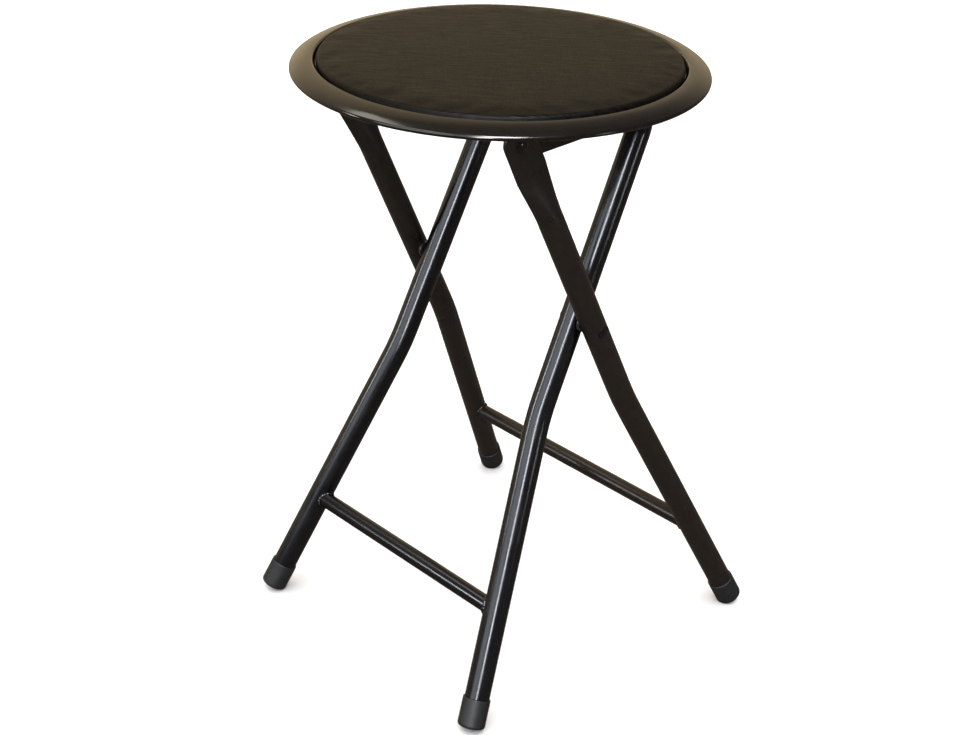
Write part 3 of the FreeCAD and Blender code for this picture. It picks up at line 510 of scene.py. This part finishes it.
def weld_bead(name, body, place, up, normal, side, material):
    """The ring of weld where a stretcher's end meets the leg on that side."""
    across = Vector((1, 0, 0))
    centres = []
    for step in range(BEAD_STEPS):
        angle = 2 * math.pi * step / BEAD_STEPS
        along = STRETCHER_RADIUS * math.cos(angle)
        out = STRETCHER_RADIUS * math.sin(angle)
        reach = math.sqrt(TUBE_RADIUS ** 2 - out ** 2) + along * math.sin(LEG_SPLAY)
        inward = reach / math.cos(LEG_SPLAY)
        centres.append(place - across * side * inward + up * along + normal * out)
    builder = bmesh.new()
    rings = []
    for step, point in enumerate(centres):
        ahead = (centres[(step + 1) % BEAD_STEPS] - centres[step - 1]).normalized()
        inward = ahead.cross(across).normalized()
        upward = inward.cross(ahead)
        phase = 2 * math.pi * BEAD_RIPPLES * step / BEAD_STEPS
        lump = noise.noise(point * BEAD_LUMPS) * BEAD_RIPPLE
        thickness = BEAD_RADIUS + BEAD_RIPPLE * math.cos(phase) + lump
        ring = []
        for k in range(BEAD_SIDES):
            turn = 2 * math.pi * k / BEAD_SIDES
            spoke = inward * math.cos(turn) + upward * math.sin(turn)
            ring.append(builder.verts.new(point + spoke * thickness))
        rings.append(ring)
    for step in range(BEAD_STEPS):
        join_rings(builder, rings[step], rings[(step + 1) % BEAD_STEPS])
    bead = link_mesh(name, builder, material)
    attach(bead, body)


def make_welds(materials):
    """Four weld beads, one at each end of the two stretchers."""
    for body, finish in (("outer", "outer_paint_warm_lit"), ("inner", "inner_paint_cool_lit")):
        low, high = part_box(body + "_stretcher")
        middle = (low + high) / 2
        leg_low, leg_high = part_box(body + "_right_foot")
        leg_middle = (leg_low + leg_high) / 2
        pivot_low, pivot_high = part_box("right_pivot_rivet")
        pivot = (pivot_low + pivot_high) / 2
        up = Vector((0, pivot.y - middle.y, pivot.z - middle.z)).normalized()
        normal = up.cross(Vector((1, 0, 0)))
        foot_drop = (middle - leg_middle).dot(up)
        leg_place = leg_middle.x - foot_drop * math.tan(LEG_SPLAY)
        for side, word in ((1, "right"), (-1, "left")):
            place = Vector((side * leg_place, middle.y, middle.z))
            name = f"{body}_{word}_weld"
            weld_bead(name, body + "_frame", place, up, normal, side, materials[finish])


def add_spot(builder, centre, number):
    """One dished spot weld, a little out of round."""
    edge = None
    for share, height in SPOT_PROFILE:
        ring = []
        for k in range(SPOT_STEPS):
            angle = 2 * math.pi * k / SPOT_STEPS
            reach = SPOT_RADIUS * share * (1 + SPOT_WAVER * math.sin(SPOT_WAVES * angle + number))
            offset = Vector((math.cos(angle) * reach, math.sin(angle) * reach, -SPOT_RIDGE * height))
            ring.append(builder.verts.new(centre + offset))
        if edge is None:
            middle = builder.verts.new(centre + Vector((0, 0, -SPOT_RIDGE * SPOT_MIDDLE)))
            for k in range(SPOT_STEPS):
                builder.faces.new((middle, ring[k], ring[(k + 1) % SPOT_STEPS]))
        else:
            join_rings(builder, edge, ring)
        edge = ring


def make_spot_welds(materials):
    """Spot welds along the flange of each hinge rail, where it is held to the pan."""
    for side, word in ((1, "right"), (-1, "left")):
        low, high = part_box(word + "_hinge_rail")
        middle_x = (low.x + high.x) / 2 - side * RAIL_SHEET / 2
        spacing = (high.y - low.y) / (SPOT_COUNT - 1 + 2 * SPOT_MARGIN)
        builder = bmesh.new()
        for number in range(SPOT_COUNT):
            y = low.y + spacing * (number + SPOT_MARGIN)
            add_spot(builder, Vector((middle_x, y, high.z - RAIL_SHEET)), number)
        spots = link_mesh(word + "_rail_spot_welds", builder, materials["seat_paint"])
        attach(spots, "seat")


def make_floor():
    """A wide plain pale floor."""
    builder = bmesh.new()
    bmesh.ops.create_grid(builder, x_segments=8, y_segments=8, size=FLOOR_REACH)
    mesh = bpy.data.meshes.new("floor")
    builder.to_mesh(mesh)
    builder.free()
    floor = bpy.data.objects.new("floor", mesh)
    floor.location.z = -FLOOR_DROP
    bpy.context.scene.collection.objects.link(floor)
    material, tree, shader = new_material("pale_floor")
    tone = spread(tree, noise_of(tree, coordinates(tree), 3, 3), 0, 1)
    tree.links.new(mix_colour(tree, tone, *FLOOR_TONES), shader.inputs["Base Color"])
    shader.inputs["Roughness"].default_value = 0.9
    shader.inputs["Specular IOR Level"].default_value = 0.1
    mesh.materials.append(material)
    floor.visible_glossy = False


def area_light(name, azimuth, elevation, distance, size, radiance, colour):
    """A soft panel that only the gloss shows, so many degrees round from +X and above the floor."""
    light = bpy.data.lights.new(name, "AREA")
    light.shape = "RECTANGLE"
    light.size, light.size_y = size
    light.energy = radiance * math.pi * size[0] * size[1]
    light.color = colour
    lamp = bpy.data.objects.new(name, light)
    round_z = math.radians(azimuth)
    above = math.radians(elevation)
    away = Vector((math.cos(round_z) * math.cos(above), math.sin(round_z) * math.cos(above), math.sin(above)))
    lamp.location = Vector((0, 0, LIT_HEIGHT)) + away * distance
    lamp.rotation_euler = (-away).to_track_quat("-Z", "Y").to_euler()
    lamp.visible_diffuse = False
    bpy.context.scene.collection.objects.link(lamp)


def facing(tree, direction, side):
    """How far a direction points to that side, 1 straight at it."""
    node = tree.nodes.new("ShaderNodeVectorMath")
    node.operation = "DOT_PRODUCT"
    node.inputs[1].default_value = side
    tree.links.new(direction, node.inputs[0])
    return node.outputs["Value"]


def make_surroundings():
    """A white backdrop to the eye; in reflections a dim room with a warm wall and a glow high on the left."""
    world = bpy.data.worlds.new("surroundings")
    world.use_nodes = True
    tree = world.node_tree
    room = tree.nodes["Background"]
    direction = add_node(tree, "ShaderNodeTexCoord").outputs["Generated"]
    split = add_node(tree, "ShaderNodeSeparateXYZ")
    tree.links.new(direction, split.inputs["Vector"])
    height = split.outputs["Z"]
    under = spread(tree, height, 1, 0, *GROUND_RISE)
    ground = mix_colour(tree, under, ROOM_TONE, UNDER_TONE)
    behind = spread(tree, facing(tree, direction, WARM_SIDE), 0, 1, *WARM_REACH)
    above_floor = spread(tree, height, FLOOR_SHARE, 1, *FLOOR_RISE)
    below_ceiling = spread(tree, height, 1, CEILING_SHARE, *CEILING_RISE)
    lit = multiply(tree, behind, multiply(tree, above_floor, below_ceiling))
    wall = mix_colour(tree, lit, ground, WARM_TONE)
    glow = spread(tree, facing(tree, direction, GLOW_SIDE), 0, GLOW_SHARE, *GLOW_REACH)
    tree.links.new(mix_colour(tree, glow, wall, WARM_TONE), room.inputs["Color"])
    backdrop = add_node(tree, "ShaderNodeBackground", Color=(*BACKDROP_TONE, 1))
    path = add_node(tree, "ShaderNodeLightPath")
    choice = add_node(tree, "ShaderNodeMixShader")
    tree.links.new(path.outputs["Is Camera Ray"], choice.inputs[0])
    tree.links.new(room.outputs["Background"], choice.inputs[1])
    tree.links.new(backdrop.outputs["Background"], choice.inputs[2])
    tree.links.new(choice.outputs["Shader"], tree.nodes["World Output"].inputs["Surface"])
    bpy.context.scene.world = world


def make_light():
    """A soft dome from above, and panels round the room that the gloss mirrors."""
    sun = bpy.data.lights.new("dome", "SUN")
    sun.energy = DOME_STRENGTH
    sun.angle = DOME_SPREAD
    dome = bpy.data.objects.new("dome", sun)
    dome.rotation_euler = DOME_LEAN
    dome.visible_glossy = False
    bpy.context.scene.collection.objects.link(dome)
    for panel in PANELS:
        area_light(*panel)


def make_camera():
    """The photograph's own camera."""
    camera = bpy.data.cameras.new("camera")
    camera.sensor_fit = "HORIZONTAL"
    camera.sensor_width = SENSOR_WIDTH
    camera.lens = FOCAL_PIXELS / FRAME_WIDTH * SENSOR_WIDTH
    camera.clip_start = 0.01
    camera.clip_end = 50
    holder = bpy.data.objects.new("camera", camera)
    right = Vector(CAMERA_RIGHT).normalized()
    back = Vector(CAMERA_BACK).normalized()
    up = back.cross(right).normalized()
    turn = Matrix((right, up, back)).transposed()
    holder.matrix_world = Matrix.Translation(CAMERA_PLACE) @ turn.to_4x4()
    bpy.context.scene.collection.objects.link(holder)
    bpy.context.scene.camera = holder


materials = make_materials()
for node_name, node in nodes.items():
    node.data.materials.clear()
    node.data.materials.append(materials[finish_of(node_name)])
make_pad(materials)
make_welds(materials)
make_spot_welds(materials)
make_floor()
make_surroundings()
make_light()
make_camera()
bpy.context.scene.view_settings.view_transform = "Standard"
